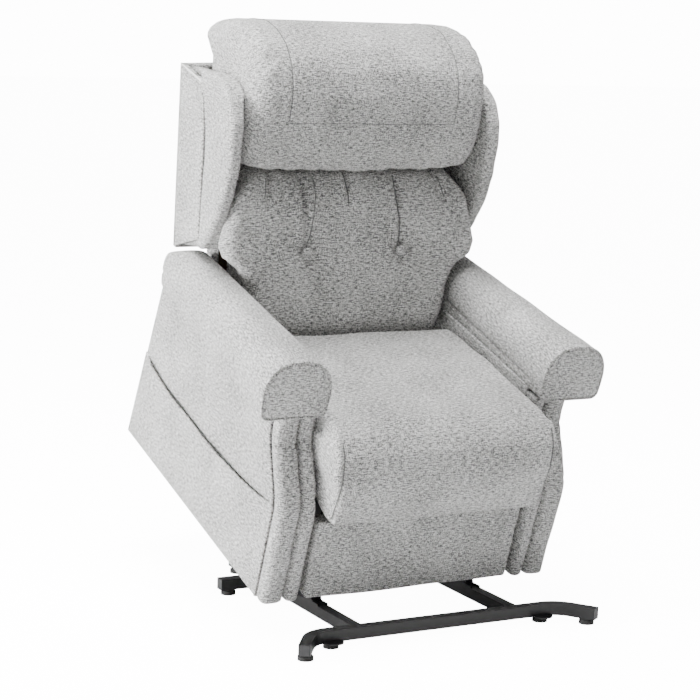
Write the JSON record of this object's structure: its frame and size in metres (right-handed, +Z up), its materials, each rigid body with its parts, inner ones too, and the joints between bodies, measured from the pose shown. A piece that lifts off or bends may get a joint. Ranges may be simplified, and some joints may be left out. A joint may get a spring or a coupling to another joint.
{
  "type": "lift recliner chair",
  "caption": "Wing-back rise and recline armchair in grey woven fabric, raised and tilted on a low black tube base, with roll arms, side pocket and sliding legrest.",
  "frame": {"origin": "on the floor under the middle of the chair's bounding box", "axes": "+X towards the sitter's left, -Y the front, +Z up"},
  "size_m": [0.82, 0.9616, 1.2642],
  "materials": {
    "black_steel": "satin",
    "bright_steel": "brushed",
    "black_rubber": "matte",
    "black_plastic": "matte",
    "wood": "matte",
    "grey_fabric": "matte"
  },
  "bodies": {
    "base": {"base_front_bar": "black_steel", "base_rear_bar": "black_steel", "base_rails": "black_steel", "foot_tabs": "black_steel", "feet": "black_rubber", "tube_end_plugs": "black_plastic", "base_brackets": "black_steel", "drive_cross_bar": "black_steel", "base_pins": "bright_steel"},
    "lift_arms": {"lift_arm_left": "black_steel", "lift_arm_right": "black_steel", "lift_arm_cross_tube": "black_steel"},
    "chair": {"chassis_sides": "black_steel", "chassis_tubes": "black_steel", "chassis_pins": "bright_steel", "recline_drive_bracket": "black_steel", "seat_deck": "wood", "seat_springs": "bright_steel", "seat_cushion": "grey_fabric", "arm_frame_left": "wood", "arm_frame_right": "wood", "arm_outer_panel_left": "grey_fabric", "arm_outer_panel_right": "grey_fabric", "arm_inner_panels": "grey_fabric", "arm_front_flutes_left": "grey_fabric", "arm_front_flutes_right": "grey_fabric", "arm_top_pad_left": "grey_fabric", "arm_top_pad_right": "grey_fabric", "side_pocket": "grey_fabric", "rear_valance": "grey_fabric", "slide_channels": "black_steel", "legrest_drive_tube": "black_plastic", "control_box": "black_plastic", "control_box_shelf": "black_steel", "mains_inlet": "black_plastic", "back_hinge_brackets": "black_steel"},
    "backrest": {"back_frame": "wood", "back_springs": "grey_fabric", "back_rear_cover": "grey_fabric", "wing_panel_left": "grey_fabric", "wing_panel_right": "grey_fabric", "wing_pad_left": "grey_fabric", "wing_pad_right": "grey_fabric", "lumbar_cushion": "grey_fabric", "back_buttons": "grey_fabric", "head_cushion": "grey_fabric", "back_pins": "bright_steel", "recline_crank": "black_steel"},
    "legrest_slides": {"slide_bars": "bright_steel", "legrest_drive_rod": "bright_steel"},
    "legrest": {"legrest_board": "wood", "legrest_pad": "grey_fabric", "legrest_hinges": "black_steel"},
    "lift_drive_body": {"lift_drive_motor": "black_plastic", "lift_drive_tube": "black_plastic"},
    "lift_drive_shaft": {"lift_drive_rod": "bright_steel"},
    "recline_drive_body": {"recline_drive_motor": "black_plastic", "recline_drive_tube": "black_plastic"},
    "recline_drive_shaft": {"recline_drive_rod": "bright_steel"}
  },
  "joints": [
    {"name": "lift_raise", "type": "hinge", "parent": "base", "child": "lift_arms", "pos_m": [0, -0.1835, 0.0729], "axis": [1, 0, 0], "range_deg": [-24.17, 12]},
    {"name": "chassis_tilt", "type": "hinge", "parent": "lift_arms", "child": "chair", "pos_m": [0, 0.11106, 0.30055], "axis": [1, 0, 0], "range_deg": [-3.6, 7.2]},
    {"name": "back_recline", "type": "hinge", "parent": "chair", "child": "backrest", "pos_m": [0, 0.24375, 0.66006], "axis": [-1, 0, 0], "range_deg": [0, 30]},
    {"name": "legrest_slide", "type": "slide", "parent": "chair", "child": "legrest_slides", "axis": [0, -0.9703, -0.2419], "range_m": [0, 0.24]},
    {"name": "legrest_swing", "type": "hinge", "parent": "legrest_slides", "child": "legrest", "pos_m": [0, -0.24984, 0.18812], "axis": [-1, 0, 0], "range_deg": [0, 78.2]},
    {"name": "lift_drive_turn", "type": "hinge", "parent": "base", "child": "lift_drive_body", "pos_m": [0, 0.2015, 0.062], "axis": [1, 0, 0], "range_deg": [-0.5, 0.26]},
    {"name": "lift_drive_stroke", "type": "slide", "parent": "lift_drive_body", "child": "lift_drive_shaft", "axis": [0, -0.8845, 0.4665], "range_m": [-0.0912, 0.0456]},
    {"name": "recline_drive_turn", "type": "hinge", "parent": "chair", "child": "recline_drive_body", "pos_m": [0, -0.113, 0.19545], "axis": [1, 0, 0], "range_deg": [0, 9.3]},
    {"name": "recline_drive_stroke", "type": "slide", "parent": "recline_drive_body", "child": "recline_drive_shaft", "axis": [0, 0.8666, 0.4991], "range_m": [-0.1016, 0]}
  ],
  "couplings": [
    {"joint": "chassis_tilt", "follows": "lift_raise", "ratio": -0.2966},
    {"joint": "lift_drive_turn", "follows": "lift_raise", "ratio": 0.02},
    {"joint": "lift_drive_stroke", "follows": "lift_raise", "m_per_rad": 0.21486},
    {"joint": "legrest_swing", "follows": "legrest_slide", "rad_per_m": 5.6723},
    {"joint": "recline_drive_turn", "follows": "back_recline", "ratio": 0.3084},
    {"joint": "recline_drive_stroke", "follows": "back_recline", "m_per_rad": -0.19291}
  ]
}
